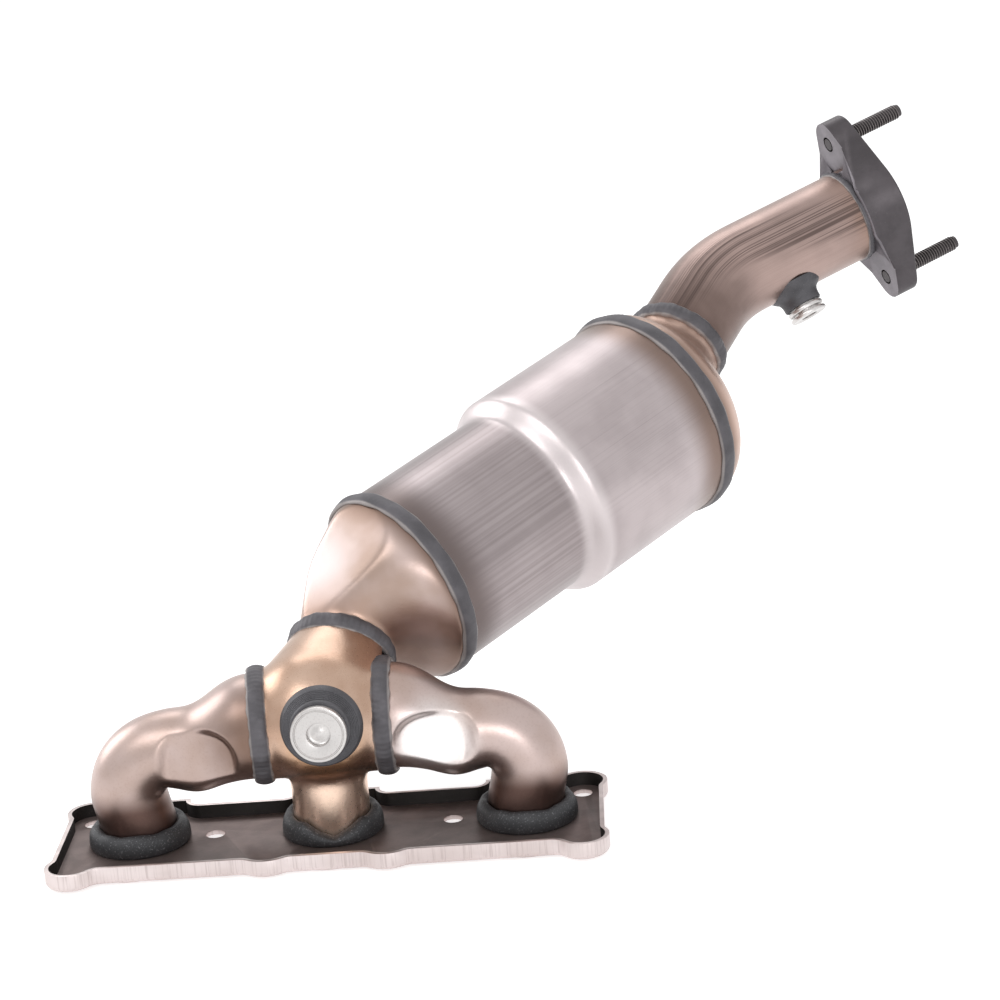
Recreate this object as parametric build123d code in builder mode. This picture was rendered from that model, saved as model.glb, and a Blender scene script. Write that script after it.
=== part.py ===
from build123d import *
from math import cos, pi, sin
import os

os.makedirs("parts", exist_ok=True)

# Manifold flange: a pressed steel tray that bolts to the cylinder head.
# The origin is the centre port's axis on the mounting face, X runs along the head.
port_pitch = 91.0
port_bore_radius = 16.0
flange_sheet = 2.0
flange_height = 8.5
flange_end_margin = 35.8
flange_front = 46.0
flange_back = 25.0
flange_bend_radius = 3.0
flange_blend_radius = 6.0
pad_height = 1.0
pad_half_width = 25.0
pad_front = 42.0
pad_back = 22.0
lobe_radius = 12.0
lobe_inset = 9.8
lobe_front_y = 41.0
lobe_back_y = 24.0
front_bulge_radius = 14.0
front_bulge_y = 36.0
back_bulge_half_width = 20.0
back_bulge_y = 32.5
bolt_hole_radius = 4.5
front_bolt_x = 27.5
front_bolt_y = 41.0
mid_bolt_inset = 35.0
mid_bolt_y = 2.0

# Port collars
collar_radius = 23.75
collar_height = 10.0
collar_round = 4.0

# Runners: tubes from the outer ports to the collector
runner_wall = 2.0
foot_length = 11.0
elbow_radius = 20.7
elbow_lean = 3.0
runner_rise = 9.3
runner_hold = 1.9
runner_dimple = 5.5

# Collector: a round body where the three runners meet
collector_height = 57.5
collector_radius = 36.0
neck_radius = 25.5
neck_reach = 29.0
throat_radius = 24.0
throat_reach = 39.0
throat_azimuth = 74.5
throat_elevation = 34.8
flare_root = 0.55
flare_inset = 1.0
leg_flare_reach = 42.0
left_neck_yaw = 5.0
lip = 4.5

# Converter casing: a sized tube in two diameters, leaning back and to the right
inlet_cone_right = 27.94
inlet_cone_back = 32.24
inlet_cone_rise = 19.94
casing_azimuth = 41.6
casing_elevation = 15.75
casing_wall = 1.5
small_radius = 47.5
small_length = 79.0
shoulder_length = 11.0
large_radius = 54.0
large_length = 84.2
cone_wall = 1.8
inlet_cone_dimple = 6.0

# Catalyst bricks with their mats and end seals
mat_thickness = 4.0
front_brick_inset = 7.0
front_brick_length = 66.0
rear_brick_inset = 7.0
rear_brick_length = 70.0
cell_pitch = 8.0
cell_web = 1.0
brick_skin = 2.0
seal_length = 6.0

# Outlet pipe and its flange
outlet_radius = 24.5
outlet_wall = 2.0
outlet_cone_right = 17.82
outlet_cone_back = 39.09
outlet_cone_rise = 26.72
outlet_azimuth = 55.2
outlet_elevation = 31.0
outlet_first_run = 28.9
outlet_bend_radius = 65.0
outlet_bend_angle = 31.5
outlet_bend_roll = -110.4
outlet_last_run = 85.0
plate_thickness = 20.0
plate_waist_radius = 33.0
ear_radius = 12.0
ear_thickness = 12.5
ear_pocket_radius = 17.0
stud_spacing = 78.0
stud_roll = 103.8
stud_radius = 4.0
stud_reach = 34.0
stud_shank_radius = 4.25
stud_relief_radius = 3.3
stud_relief_length = 1.5
stud_chamfer = 1.2
pipe_inset = 6.0
plate_round = 1.2

# Sensor bosses and their blanking plugs
front_boss_radius = 15.0
front_foot_radius = 18.6
front_foot_top = 36.0
front_boss_reach = 39.5
front_boss_x = 2.5
front_boss_rise = 5.2
front_boss_elevation = 5.0
front_plug_radius = 12.8
rear_boss_radius = 10.4
rear_foot_radius = 16.0
rear_foot_top = 27.5
foot_depth = 7.5
rear_boss_height = 8.0
rear_boss_from_bend = 18.0
rear_boss_roll = -60.0
rear_plug_radius = 10.2
boss_bore_radius = 8.0
plug_gap = 2.0
plug_neck_radius = 6.5
plug_cap = 4.5
plug_recess_radius = 4.5
plug_recess_depth = 3.0
plug_depth = 8.0
plug_chamfer = 0.8

# Weld beads
bead_width = 8.0
bead_rise = 1.8
casing_bead_width = 9.0
seat_gap = 0.3

flange_half_length = port_pitch + flange_end_margin
lobe_x = flange_half_length - lobe_inset
mid_bolt_x = port_pitch - mid_bolt_inset
elbow_height = collector_height - runner_rise - elbow_radius
floor_bottom = pad_height
floor_top = floor_bottom + flange_sheet
runner_radius = port_bore_radius + runner_wall
port_x = (-port_pitch, 0.0, port_pitch)


def tilted(azimuth, elevation):
    # Unit vector from an angle round Z and an angle above the XY plane
    a, e = azimuth * pi / 180, elevation * pi / 180
    return Vector(cos(e) * cos(a), cos(e) * sin(a), sin(e))


def facing(origin, normal, side):
    # Plane square to a direction, its X axis turned as near to a side as it goes
    z = Vector(*normal).normalized()
    return Plane(origin, x_dir=side - z * side.dot(z), z_dir=z)


def shifted(plane, distance):
    # The same plane moved along its own normal
    return Plane(plane.origin + plane.z_dir * distance, x_dir=plane.x_dir, z_dir=plane.z_dir)


def ring(plane, radius):
    # Filled circle on a plane
    with BuildSketch(plane) as filled:
        Circle(radius)
    return filled.sketch


def pressed_ring(plane, radius, dimple, count=12):
    # Filled smooth ring whose +X side is pressed inwards by a dimple
    points = []
    for i in range(count):
        turn = 2 * pi * i / count
        pressed = dimple * max(0.0, cos(turn)) ** 3
        points.append((radius * cos(turn) - pressed, radius * sin(turn)))
    with BuildSketch(plane) as filled:
        with BuildLine():
            Spline(*points, periodic=True)
        make_face()
    return filled.sketch


def hollow_loft(stations, wall):
    # Open tube through stations of plane, radius and dimple; its bore runs on past both ends
    (first, first_radius, _), (last, last_radius, _) = stations[0], stations[-1]
    before = (shifted(first, -lip), first_radius, 0.0)
    after = (shifted(last, lip), last_radius, 0.0)
    inner = [(plane, radius - wall, dimple) for plane, radius, dimple in (before, *stations, after)]
    with BuildPart() as shell:
        loft([pressed_ring(*station) for station in stations])
        loft([pressed_ring(*station) for station in inner], mode=Mode.SUBTRACT)
    return shell


def bead(plane, radius, width, *neighbours):
    # Weld bead round a tube, centred on the plane's origin and cut back to its neighbours
    half = width / 2
    seat = radius + seat_gap
    with BuildPart() as weld:
        with BuildSketch(Plane(plane.origin, x_dir=plane.x_dir, z_dir=-plane.y_dir)):
            with BuildLine():
                Line((seat, -half), (seat, half))
                ThreePointArc((seat, half), (seat + bead_rise, 0), (seat, -half))
            make_face()
        revolve(axis=Axis(plane.origin, plane.z_dir))
        for neighbour in neighbours:
            add(neighbour.part, mode=Mode.SUBTRACT)
    return weld


def export(builder, name):
    builder.part.label = name
    export_step(builder.part, "parts/" + name + ".step")


# Manifold flange
flange_bolts = [(side * lobe_x, y) for side in (-1, 1) for y in (-lobe_front_y, lobe_back_y)]
flange_bolts += [(side * front_bolt_x, -front_bolt_y) for side in (-1, 1)]
flange_bolts += [(side * mid_bolt_x, mid_bolt_y) for side in (-1, 1)]
with BuildSketch() as flange_outline:
    with Locations((0, (flange_back - flange_front) / 2)):
        Rectangle(2 * flange_half_length, flange_front + flange_back)
    with Locations(*flange_bolts[:4]):
        Circle(lobe_radius)
    with Locations(*[(side * front_bolt_x, -front_bulge_y) for side in (-1, 1)]):
        Circle(front_bulge_radius)
    with Locations(*[(x, back_bulge_y / 2) for x in port_x]):
        Rectangle(2 * back_bulge_half_width, back_bulge_y)
    offset(amount=flange_blend_radius)
    offset(amount=-flange_blend_radius)
with BuildPart() as manifold_flange:
    with BuildSketch(Plane.XY.offset(floor_bottom)):
        add(flange_outline.sketch)
    extrude(amount=flange_height)
    fillet(manifold_flange.faces().sort_by(Axis.Z)[0].edges(), radius=flange_bend_radius)
    with BuildSketch(Plane.XY.offset(floor_top)):
        add(flange_outline.sketch)
        offset(amount=-flange_sheet)
    extrude(amount=flange_height, mode=Mode.SUBTRACT)
    with BuildSketch():
        with Locations(*[(x, (pad_back - pad_front) / 2) for x in port_x]):
            Ellipse(pad_half_width, (pad_front + pad_back) / 2)
    extrude(amount=pad_height)
    with Locations(*[(x, 0, floor_top) for x in port_x]):
        Hole(port_bore_radius)
    with Locations(*[(x, y, floor_top) for x, y in flange_bolts]):
        Hole(bolt_hole_radius)
export(manifold_flange, "manifold_flange")

# Port collars, one round each runner's foot
for name, x in zip(("left", "centre", "right"), port_x):
    with BuildPart() as port_collar:
        with BuildSketch(Plane.XY.offset(floor_top)):
            with Locations((x, 0)):
                Circle(collar_radius)
                Circle(runner_radius + seat_gap, mode=Mode.SUBTRACT)
        extrude(amount=collar_height)
        outer_edges = port_collar.edges().filter_by(GeomType.CIRCLE).sort_by(SortBy.RADIUS)[-2:]
        fillet(outer_edges.sort_by(Axis.Z)[-1], radius=collar_round)
        fillet(outer_edges.sort_by(Axis.Z)[0], radius=collar_round / 3)
    export(port_collar, name + "_port_collar")


def between(start, end, share, side):
    # Plane part of the way along a smooth curve that leaves and meets both planes squarely
    span = (end.origin - start.origin).length
    stay, go = 1 - share, share
    centre = (
        start.origin * (stay**3 + 3 * stay**2 * go)
        + end.origin * (go**3 + 3 * go**2 * stay)
        + start.z_dir * (stay**2 * go * span)
        - end.z_dir * (go**2 * stay * span)
    )
    return facing(centre, start.z_dir * stay + end.z_dir * go, side)


def turned_to(stations, side):
    # The same stations with every plane's X axis turned towards one side
    return [(facing(plane.origin, plane.z_dir, side), radius, dimple) for plane, radius, dimple in stations]


# Outer runners
collector_centre = Vector(0, 0, collector_height)
neck_direction = {"left": tilted(180 + left_neck_yaw, 0), "right": tilted(0, 0)}
front = Vector(0, -1, 0)


def neck_plane(name, reach):
    # Plane across a collector neck, facing away from the collector
    out = neck_direction[name]
    return facing(collector_centre + out * reach, out, front)


def grow(share):
    # Smooth step from 0 to 1
    share = min(1.0, max(0.0, share))
    return share * share * (3 - 2 * share)


def elbow_centre(side):
    return Vector(side * (port_pitch + elbow_lean - elbow_radius), 0, elbow_height)


def runner_centre(start, end, share):
    # Centreline from the elbow to the collector neck, flat at first and rising late
    point = start + (end - start) * share
    late = grow(share**runner_hold)
    return Vector(point.X, start.Y + (end.Y - start.Y) * late, start.Z + (end.Z - start.Z) * late)


def runner_width(centre, mouth):
    # Radius of the runner, growing from its elbow to the neck
    reach = port_pitch + elbow_lean
    share = (reach - abs(centre.X)) / (reach - abs(mouth.origin.X))
    return runner_radius + (neck_radius - runner_radius) * grow((share - 0.25) / 0.65)


runners = {}
for name, side in (("left", -1), ("right", 1)):
    foot = Plane((side * port_pitch, 0, floor_top), x_dir=front, z_dir=(0, 0, 1))
    mouth = neck_plane(name, neck_reach + lip)
    stations = [(shifted(foot, foot_length * i / 2), runner_radius, 0.0) for i in range(3)]
    for angle in range(0, 91, 15):
        turn = angle * pi / 180
        centre = elbow_centre(side) + Vector(side * cos(turn), 0, sin(turn)) * elbow_radius
        place = facing(centre, (-side * sin(turn), 0, cos(turn)), front)
        stations.append((place, runner_width(centre, mouth), 0.0))
    elbow_end = stations[-1][0].origin
    for i in range(1, 6):
        share = i / 6
        centre = runner_centre(elbow_end, mouth.origin, share)
        ahead = runner_centre(elbow_end, mouth.origin, share + 0.02)
        place = facing(centre, ahead - centre, front)
        stations.append((place, runner_width(centre, mouth), runner_dimple * sin(pi * share) ** 2))
    for reach in (neck_reach + lip, neck_reach):
        place = neck_plane(name, reach)
        stations.append((facing(place.origin, -place.z_dir, front), neck_radius, 0.0))
    runners[name] = hollow_loft(stations, runner_wall)
    export(runners[name], name + "_runner")

# Collector: ball body with a leg to the centre port, two necks and a throat to the converter
throat_direction = tilted(throat_azimuth, throat_elevation)
throat = facing(collector_centre + throat_direction * throat_reach, throat_direction, front)
leg = facing(collector_centre, (0, 0, -1), front)
leg_length = collector_height - floor_top
throat_root = facing(collector_centre, throat_direction, front)
arms = [
    (leg, runner_radius, leg_length),
    (neck_plane("left", 0), neck_radius, neck_reach),
    (neck_plane("right", 0), neck_radius, neck_reach),
    (throat_root, throat_radius, throat_reach),
]
front_boss_start = collector_centre + Vector(front_boss_x, 0, front_boss_rise)
front_boss = Plane(front_boss_start, x_dir=(1, 0, 0), z_dir=tilted(-90, front_boss_elevation))


def flared_arm(plane, radius, reach):
    # Round arm from the ball's centre whose root flares out to the ball's surface
    root = flare_root * collector_radius
    root_radius = (collector_radius**2 - root**2) ** 0.5 - flare_inset
    with BuildPart() as arm:
        with BuildSketch(Plane(plane.origin, x_dir=plane.x_dir, z_dir=-plane.y_dir)):
            with BuildLine():
                Polyline((root_radius, root), (0, root), (0, reach), (radius, reach), (radius, reach - lip))
                TangentArc((radius, reach - lip), (root_radius, root), tangent=(0, -1))
            make_face()
        revolve(axis=Axis(plane.origin, plane.z_dir))
    return arm.part


with BuildPart() as collector:
    with Locations(collector_centre):
        Sphere(collector_radius)
    extrude(ring(leg, runner_radius), amount=leg_length)
    add(flared_arm(leg, runner_radius, leg_flare_reach))
    extrude(ring(throat_root, throat_radius), amount=throat_reach)
    for name in neck_direction:
        beyond = neck_plane(name, neck_reach)
        extrude(ring(beyond, collector_radius), amount=collector_radius, mode=Mode.SUBTRACT)
        extrude(ring(beyond, neck_radius), amount=-neck_reach)
    with Locations(collector_centre):
        Sphere(collector_radius - runner_wall, mode=Mode.SUBTRACT)
    for plane, radius, reach in arms:
        extrude(ring(plane, radius - runner_wall), amount=reach, mode=Mode.SUBTRACT)
    extrude(ring(front_boss, boss_bore_radius), amount=2 * collector_radius, mode=Mode.SUBTRACT)
export(collector, "collector")
collector_weld = bead(throat, throat_radius, bead_width, collector)
export(collector_weld, "collector_weld")
for name in neck_direction:
    neighbours = (collector, collector_weld, runners[name])
    neck_bead = bead(neck_plane(name, neck_reach), neck_radius, bead_width, *neighbours)
    with BuildPart() as runner_weld:
        add(neck_bead.part.solids().sort_by(SortBy.VOLUME)[-1])
    export(runner_weld, name + "_runner_weld")

# Inlet cone: from the collector's throat to the casing, pressed in at its upper left
casing_start = throat.origin + Vector(inlet_cone_right, inlet_cone_back, inlet_cone_rise)
casing_direction = tilted(casing_azimuth, casing_elevation)
casing_inlet = Plane(casing_start, z_dir=casing_direction)
casing_length = small_length + shoulder_length + large_length
casing_outlet = Plane(casing_start + casing_direction * casing_length, z_dir=casing_direction)
cone_dimple_side = Vector(-0.85, -0.2, 0.5)
inlet_ends = (shifted(throat, lip), shifted(casing_inlet, -lip))
stations = [(throat, throat_radius, 0.0)]
for i in range(7):
    share = i / 6
    radius = throat_radius + (small_radius - throat_radius) * sin(share * pi / 2)
    dimple = inlet_cone_dimple * sin(share * pi) ** 2 if 0 < i < 6 else 0.0
    stations.append((between(*inlet_ends, share, cone_dimple_side), radius, dimple))
stations.append((casing_inlet, small_radius, 0.0))
export(hollow_loft(turned_to(stations, cone_dimple_side), cone_wall), "inlet_cone")
export(bead(casing_inlet, small_radius, casing_bead_width), "inlet_cone_weld")

# Casing: one spun shell in two diameters
def along_casing(distance):
    return Plane(casing_start + casing_direction * distance, z_dir=casing_direction)


casing_side = Plane(casing_start, x_dir=casing_inlet.x_dir, z_dir=-casing_inlet.y_dir)
with BuildPart() as converter_casing:
    for inset, mode in ((0.0, Mode.ADD), (casing_wall, Mode.SUBTRACT)):
        small, large = small_radius - inset, large_radius - inset
        shoulder_middle = small_length + shoulder_length / 2
        with BuildSketch(casing_side):
            with BuildLine():
                Polyline((small, small_length), (small, 0), (0, 0), (0, casing_length),
                         (large, casing_length), (large, small_length + shoulder_length))
                Bezier((large, small_length + shoulder_length), (large, shoulder_middle),
                       (small, shoulder_middle), (small, small_length))
            make_face()
        revolve(axis=Axis(casing_start, casing_direction), mode=mode)
export(converter_casing, "converter_casing")

# Bricks, mats and end seals inside the casing
rear_start = small_length + shoulder_length + rear_brick_inset
bricks = (
    ("front", front_brick_inset, front_brick_length, small_radius - casing_wall),
    ("rear", rear_start, rear_brick_length, large_radius - casing_wall),
)
for name, start, length, bore in bricks:
    brick_radius = bore - mat_thickness
    cells = [
        (x * cell_pitch, y * cell_pitch)
        for x in range(-8, 9)
        for y in range(-8, 9)
        if ((abs(x) + 0.5) ** 2 + (abs(y) + 0.5) ** 2) ** 0.5 * cell_pitch < brick_radius - brick_skin
    ]
    with BuildPart() as monolith:
        with BuildSketch(along_casing(start)):
            Circle(brick_radius)
            with Locations(*cells):
                Rectangle(cell_pitch - cell_web, cell_pitch - cell_web, mode=Mode.SUBTRACT)
        extrude(amount=length)
    export(monolith, name + "_monolith")
    with BuildPart() as support_mat:
        with BuildSketch(along_casing(start + seal_length)):
            Circle(bore)
            Circle(brick_radius, mode=Mode.SUBTRACT)
        extrude(amount=length - 2 * seal_length)
    export(support_mat, name + "_support_mat")
    for end, distance in (("inlet", start), ("outlet", start + length - seal_length)):
        with BuildPart() as mat_seal:
            with BuildSketch(along_casing(distance)):
                Circle(bore)
                Circle(brick_radius, mode=Mode.SUBTRACT)
            extrude(amount=seal_length)
        export(mat_seal, name + "_" + end + "_mat_seal")

# Outlet cone: from the casing to the outlet pipe, which leaves higher and steeper
outlet_start = casing_outlet.origin + Vector(outlet_cone_right, outlet_cone_back, outlet_cone_rise)
outlet_direction = tilted(outlet_azimuth, outlet_elevation)
pipe_inlet = Plane(outlet_start, z_dir=outlet_direction)
outlet_ends = (shifted(casing_outlet, lip), shifted(pipe_inlet, -lip))
stations = [(casing_outlet, large_radius, 0.0)]
for i in range(7):
    share = i / 6
    radius = large_radius + (outlet_radius - large_radius) * grow(share)
    stations.append((between(*outlet_ends, share, cone_dimple_side), radius, 0.0))
stations.append((pipe_inlet, outlet_radius, 0.0))
export(hollow_loft(turned_to(stations, cone_dimple_side), cone_wall), "outlet_cone")
export(bead(casing_outlet, large_radius, casing_bead_width), "outlet_cone_weld")


def across(direction, roll):
    # Unit vector square to a direction, turned by an angle from level
    level = direction.cross(Vector(0, 0, 1)).normalized()
    rising = level.cross(direction)
    return level * cos(roll * pi / 180) + rising * sin(roll * pi / 180)


# Outlet pipe: two straight runs and one bend
bend_axis = across(outlet_direction, outlet_bend_roll)
pipe_side = Plane(outlet_start, x_dir=outlet_direction, z_dir=bend_axis)


def on_bend(angle):
    # Point on the pipe's bend, in the plane of the bend
    a = angle * pi / 180
    return (outlet_first_run + outlet_bend_radius * sin(a), outlet_bend_radius * (1 - cos(a)))


turned = Vector(cos(outlet_bend_angle * pi / 180), sin(outlet_bend_angle * pi / 180))
flange_point = Vector(*on_bend(outlet_bend_angle)) + turned * outlet_last_run
flange_direction = outlet_direction.rotate(Axis((0, 0, 0), bend_axis), outlet_bend_angle)
flange_centre = pipe_side.from_local_coords(flange_point)
rear_boss_root = flange_centre - flange_direction * (outlet_last_run - rear_boss_from_bend)
rear_boss = Plane(rear_boss_root, x_dir=flange_direction, z_dir=across(flange_direction, rear_boss_roll))
pipe_end = flange_point - turned * pipe_inset
with BuildPart() as outlet_pipe:
    with BuildLine(pipe_side) as pipe_path:
        Line((0, 0), on_bend(0))
        ThreePointArc(on_bend(0), on_bend(outlet_bend_angle / 2), on_bend(outlet_bend_angle))
        Line(on_bend(outlet_bend_angle), (pipe_end.X, pipe_end.Y))
    for radius, mode in ((outlet_radius, Mode.ADD), (outlet_radius - outlet_wall, Mode.SUBTRACT)):
        sweep(ring(pipe_inlet, radius), path=pipe_path.line, mode=mode)
    extrude(ring(rear_boss, boss_bore_radius), amount=2 * outlet_radius, mode=Mode.SUBTRACT)
export(outlet_pipe, "outlet_pipe")
export(bead(pipe_inlet, outlet_radius, bead_width), "outlet_pipe_weld")

# Outlet flange: an oval plate with thinner ears for the two studs
mating_face = Plane(flange_centre, x_dir=across(flange_direction, stud_roll), z_dir=flange_direction)
plate_back = Plane(
    flange_centre - flange_direction * plate_thickness, x_dir=mating_face.x_dir, z_dir=flange_direction
)
stud_places = [(-stud_spacing / 2, 0), (stud_spacing / 2, 0)]
with BuildPart() as outlet_flange:
    with BuildSketch(plate_back):
        Circle(plate_waist_radius)
        with Locations(*stud_places):
            Circle(ear_radius)
        make_hull()
    extrude(amount=plate_thickness)
    faces = outlet_flange.faces().sort_by(Axis((0, 0, 0), flange_direction))
    fillet(faces[0].edges() + faces[-1].edges(), radius=plate_round)
    with BuildSketch(plate_back):
        with Locations(*stud_places):
            Circle(ear_pocket_radius)
    extrude(amount=plate_thickness - ear_thickness, mode=Mode.SUBTRACT)
    with BuildSketch(plate_back):
        Circle(outlet_radius)
        with Locations(*stud_places):
            Circle(stud_shank_radius)
    extrude(amount=plate_thickness - pipe_inset, mode=Mode.SUBTRACT)
    with BuildSketch(mating_face):
        Circle(outlet_radius - outlet_wall)
        with Locations(*stud_places):
            Circle(stud_shank_radius)
    extrude(amount=-plate_thickness, mode=Mode.SUBTRACT)
export(outlet_flange, "outlet_flange")
stud_sections = [
    (-ear_thickness, stud_shank_radius, ear_thickness),
    (0.0, stud_relief_radius, stud_relief_length),
    (stud_relief_length, stud_radius, stud_reach - stud_relief_length),
]
with BuildPart() as flange_studs:
    for start, radius, length in stud_sections:
        with BuildSketch(shifted(mating_face, start)):
            with Locations(*stud_places):
                Circle(radius)
        extrude(amount=length)
    tips = flange_studs.faces().sort_by(Axis((0, 0, 0), flange_direction))[-2:]
    chamfer(tips.edges(), length=stud_chamfer)
export(flange_studs, "flange_studs")
with BuildPart() as outlet_flange_weld:
    with BuildSketch(Plane(plate_back.origin, x_dir=mating_face.x_dir, z_dir=-mating_face.y_dir)):
        with Locations((outlet_radius, 0)):
            Circle(bead_width / 2)
            Rectangle(bead_width, bead_width, align=(Align.MAX, Align.CENTER), mode=Mode.SUBTRACT)
            Rectangle(bead_width, bead_width, align=(Align.CENTER, Align.MIN), mode=Mode.SUBTRACT)
    revolve(axis=Axis(plate_back.origin, flange_direction))
export(outlet_flange_weld, "outlet_flange_weld")

# Sensor bosses and the plugs in their threads


def boss_with_plug(name, place, radii, tops, carrier):
    # A boss with a flared foot cut to sit on its carrier, and a headed plug in its bore
    foot_radius, boss_radius, plug_radius = radii
    foot_top, top = tops
    with BuildPart() as boss:
        loft([ring(shifted(place, foot_top - foot_depth), foot_radius), ring(shifted(place, foot_top), boss_radius)])
        extrude(ring(place, boss_radius), amount=top)
        extrude(ring(place, boss_bore_radius), amount=top, mode=Mode.SUBTRACT)
        add(carrier, mode=Mode.SUBTRACT)
    export(boss, name + "_boss")
    top_plane = shifted(place, top)
    head = shifted(top_plane, plug_gap)
    crown = shifted(head, plug_cap)
    with BuildPart() as plug:
        extrude(ring(top_plane, boss_bore_radius), amount=-plug_depth)
        extrude(ring(top_plane, plug_neck_radius), amount=plug_gap)
        extrude(ring(head, plug_radius), amount=plug_cap)
        chamfer(plug.faces().sort_by(Axis(place.origin, place.z_dir))[-1].edges(), length=plug_chamfer)
        extrude(ring(crown, plug_recess_radius), amount=-plug_recess_depth, mode=Mode.SUBTRACT)
    export(plug, name + "_plug")


with BuildPart(mode=Mode.PRIVATE) as collector_ball:
    with Locations(collector_centre):
        Sphere(collector_radius)
front_radii = (front_foot_radius, front_boss_radius, front_plug_radius)
boss_with_plug("front_sensor", front_boss, front_radii, (front_foot_top, front_boss_reach), collector_ball.part)
with BuildPart(mode=Mode.PRIVATE) as pipe_core:
    extrude(ring(Plane(rear_boss_root, z_dir=flange_direction), outlet_radius),
            amount=2 * rear_foot_radius, both=True)
rear_radii = (rear_foot_radius, rear_boss_radius, rear_plug_radius)
boss_with_plug("rear_sensor", rear_boss, rear_radii, (rear_foot_top, outlet_radius + rear_boss_height), pipe_core.part)
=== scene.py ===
import bpy
import bmesh
import math
from mathutils import Matrix, Vector


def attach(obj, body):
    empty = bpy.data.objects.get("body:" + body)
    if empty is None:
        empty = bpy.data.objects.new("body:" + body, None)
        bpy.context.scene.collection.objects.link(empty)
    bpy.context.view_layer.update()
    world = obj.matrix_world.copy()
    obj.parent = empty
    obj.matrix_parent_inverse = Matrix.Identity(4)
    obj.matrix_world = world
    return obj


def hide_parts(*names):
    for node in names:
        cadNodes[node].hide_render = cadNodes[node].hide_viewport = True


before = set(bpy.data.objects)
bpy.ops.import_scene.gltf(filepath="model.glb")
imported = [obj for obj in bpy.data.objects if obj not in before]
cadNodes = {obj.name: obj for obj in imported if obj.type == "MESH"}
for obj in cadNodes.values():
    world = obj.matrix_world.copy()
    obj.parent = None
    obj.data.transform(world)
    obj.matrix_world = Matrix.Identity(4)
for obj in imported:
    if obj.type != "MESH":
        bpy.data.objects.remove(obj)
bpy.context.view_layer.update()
bpy.context.scene.view_settings.view_transform = "Standard"
mm = 0.001


# helpers for modelling
def clearSelection():
    if bpy.context.object and bpy.context.object.mode != "OBJECT":
        bpy.ops.object.mode_set(mode="OBJECT")
    bpy.ops.object.select_all(action="DESELECT")


def onlyThis(obj):
    clearSelection()
    obj.select_set(True)
    bpy.context.view_layer.objects.active = obj


def named(name):
    # the object that was just added, under its own name
    obj = bpy.context.object
    obj.name = obj.data.name = name
    return obj


def unitVector(azimuth, elevation):
    a, e = math.radians(azimuth), math.radians(elevation)
    return Vector((math.cos(e) * math.cos(a), math.cos(e) * math.sin(a), math.sin(e)))


def turnedTo(direction, side=(0, -1, 0)):
    # axes with Z along the direction and X as near the side as it goes
    z = Vector(direction).normalized()
    x = Vector(side) - z * Vector(side).dot(z)
    if x.length < 1e-4:
        x = Vector((1, 0, 0)) - z * z.x
    x.normalize()
    return Matrix((x, z.cross(x), z)).transposed()


def acrossOf(direction, roll):
    # unit vector square to the direction, turned by an angle from level
    level = direction.cross(Vector((0, 0, 1))).normalized()
    rising = level.cross(direction)
    return level * math.cos(math.radians(roll)) + rising * math.sin(math.radians(roll))


def between(first, last, share):
    return first + (last - first) * share


def smoothStep(share):
    share = min(1.0, max(0.0, share))
    return share * share * (3 - 2 * share)


def pickVerts(obj, test):
    # select in edit mode the points that pass the test
    bpy.ops.mesh.select_mode(type="VERT")
    bpy.ops.mesh.select_all(action="DESELECT")
    mesh = bmesh.from_edit_mesh(obj.data)
    mesh.verts.ensure_lookup_table()
    for v in mesh.verts:
        if test(v):
            v.select_set(True)
    mesh.select_flush(True)
    bmesh.update_edit_mesh(obj.data)


def finishWith(obj, kind, **values):
    # add one modifier, set it and apply it
    onlyThis(obj)
    bpy.ops.object.modifier_add(type=kind)
    modifier = obj.modifiers[-1]
    for key, value in values.items():
        setattr(modifier, key, value)
    bpy.ops.object.modifier_apply(modifier=modifier.name)


def smoothUnder(obj, angle):
    onlyThis(obj)
    bpy.ops.object.shade_smooth_by_angle(angle=math.radians(angle))


def giveWall(obj, wall, angle=40):
    # thicken the skin inwards
    finishWith(obj, "SOLIDIFY", thickness=wall * mm, offset=-1.0)
    smoothUnder(obj, angle)


def putAt(obj, place, axes):
    # turn and move a piece, and keep its place in its mesh
    obj.matrix_world = Matrix.Translation(Vector(place)) @ axes.to_4x4()
    onlyThis(obj)
    bpy.ops.object.transform_apply(location=True, rotation=True, scale=True)


def ringStack(name, rings, sides=64, smooth=1):
    # circles placed along a line and bridged one to the next; rings are (centre, axes, radius)
    clearSelection()
    centre, axes, radius = rings[0]
    bpy.ops.mesh.primitive_circle_add(vertices=sides, radius=radius, location=centre,
                                      rotation=axes.to_euler())
    obj = named(name)
    bpy.ops.object.transform_apply(location=True, rotation=True, scale=True)
    bpy.ops.object.mode_set(mode="EDIT")
    for centre, axes, radius in rings[1:]:
        bpy.ops.mesh.select_all(action="DESELECT")
        bpy.ops.mesh.primitive_circle_add(vertices=sides, radius=radius, location=centre,
                                          rotation=axes.to_euler())
    for i in range(len(rings) - 1):
        pickVerts(obj, lambda v: i * sides <= v.index < (i + 2) * sides)
        bpy.ops.mesh.bridge_edge_loops()
    bpy.ops.mesh.select_all(action="SELECT")
    bpy.ops.mesh.normals_make_consistent(inside=False)
    bpy.ops.object.mode_set(mode="OBJECT")
    if smooth:
        finishWith(obj, "SUBSURF", levels=smooth, render_levels=smooth)
    smoothUnder(obj, 40)
    return obj


# the outline of an oval flat: how square it is, where its edge starts and how wide that is
oval = {"power": 2.6, "outer": 1.18, "blend": 0.32}


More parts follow.
